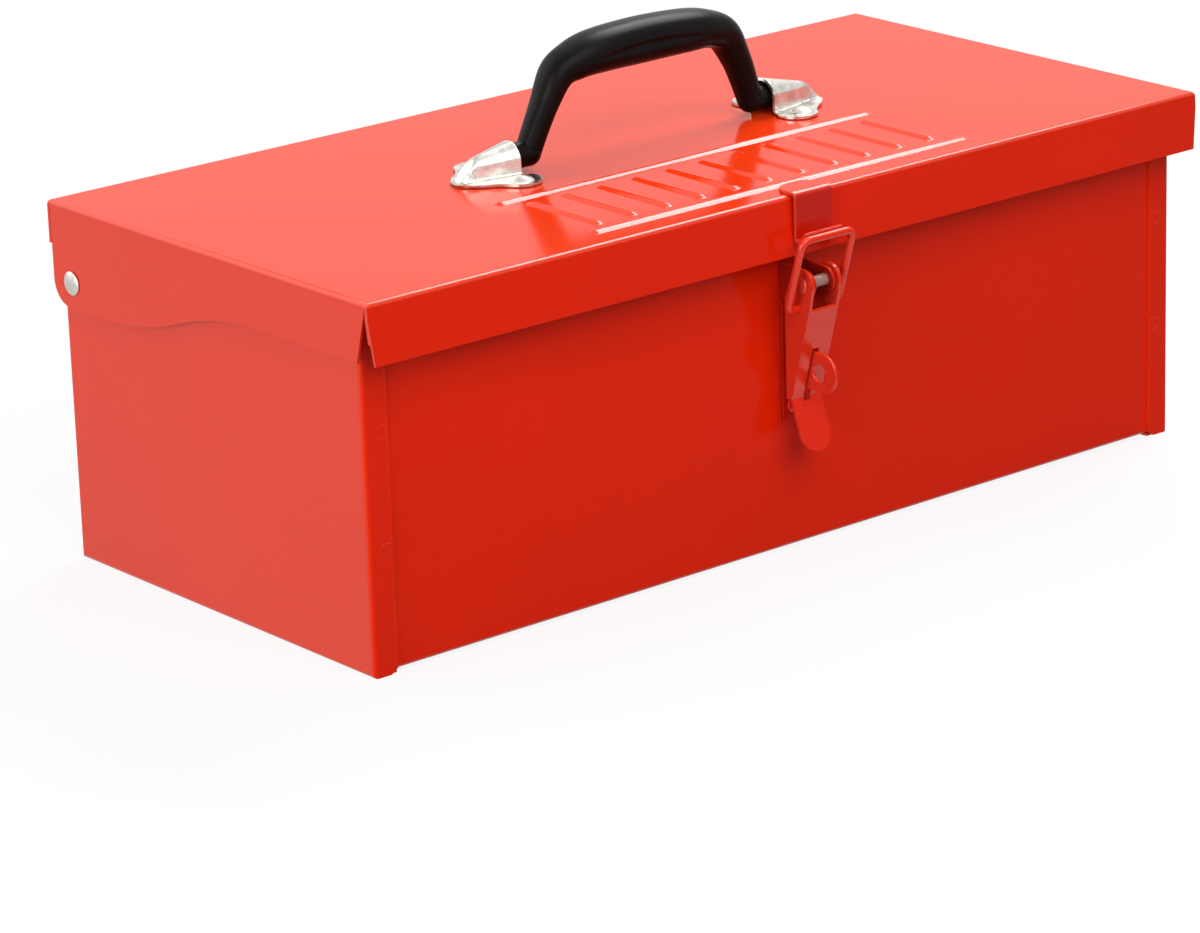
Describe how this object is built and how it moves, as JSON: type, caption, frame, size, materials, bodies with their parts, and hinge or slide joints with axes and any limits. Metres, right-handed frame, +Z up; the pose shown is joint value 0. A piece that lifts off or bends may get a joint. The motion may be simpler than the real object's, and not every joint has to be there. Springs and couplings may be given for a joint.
{
  "type": "tool box",
  "caption": "Flat-lidded sheet-steel tool box with a folding carry handle, rivet hinges and an over-centre toggle latch with a padlock eye.",
  "frame": {"origin": "on the ground, under the middle of the body between its end panels and between its front and rear faces", "axes": "+X along the box towards the right end as seen from the latch side, -Y towards the latch, +Z up"},
  "size_m": [0.3594, 0.1833, 0.1665],
  "materials": {
    "body_paint": "glossy red enamel",
    "lid_paint": "glossy red enamel",
    "latch_paint": "glossy red enamel",
    "rivet_steel": "dull plated steel",
    "washer_steel": "plated steel",
    "bracket_nickel": "bright nickel plate",
    "handle_plastic": "satin black moulded plastic"
  },
  "bodies": {
    "body": {"body_trough": "body_paint", "end_panel_left": "body_paint", "end_panel_right": "body_paint", "lid_rivet_left": "rivet_steel", "lid_rivet_right": "rivet_steel", "lid_washer_left": "washer_steel", "lid_washer_right": "washer_steel", "latch_base": "latch_paint", "latch_rivets": "latch_paint", "latch_pin": "latch_paint", "padlock_staple": "latch_paint"},
    "lid": {"lid": "lid_paint", "handle_bracket_left": "bracket_nickel", "handle_bracket_right": "bracket_nickel", "handle_rivets_left": "bracket_nickel", "handle_rivets_right": "bracket_nickel", "latch_keeper": "latch_paint"},
    "handle": {"handle_grip": "handle_plastic"},
    "lever": {"latch_lever": "latch_paint"},
    "loop": {"latch_loop": "latch_paint"}
  },
  "joints": [
    {"name": "lid_hinge", "type": "hinge", "parent": "body", "child": "lid", "pos_m": [0, 0.07, 0.0975], "axis": [-1, 0, 0], "range_deg": [0, 95]},
    {"name": "handle_fold", "type": "hinge", "parent": "lid", "child": "handle", "pos_m": [0.0018, -0.004, 0.1295], "axis": [1, 0, 0], "range_deg": [-80, 80]},
    {"name": "latch_lever", "type": "hinge", "parent": "body", "child": "lever", "pos_m": [0, -0.092, 0.094], "axis": [-1, 0, 0], "range_deg": [0, 130]},
    {"name": "latch_loop", "type": "hinge", "parent": "lever", "child": "loop", "pos_m": [0, -0.0903, 0.0858], "axis": [-1, 0, 0], "range_deg": [-143, 0]}
  ],
  "couplings": [
    {"joint": "latch_loop", "follows": "latch_lever", "ratio": -1.1}
  ]
}
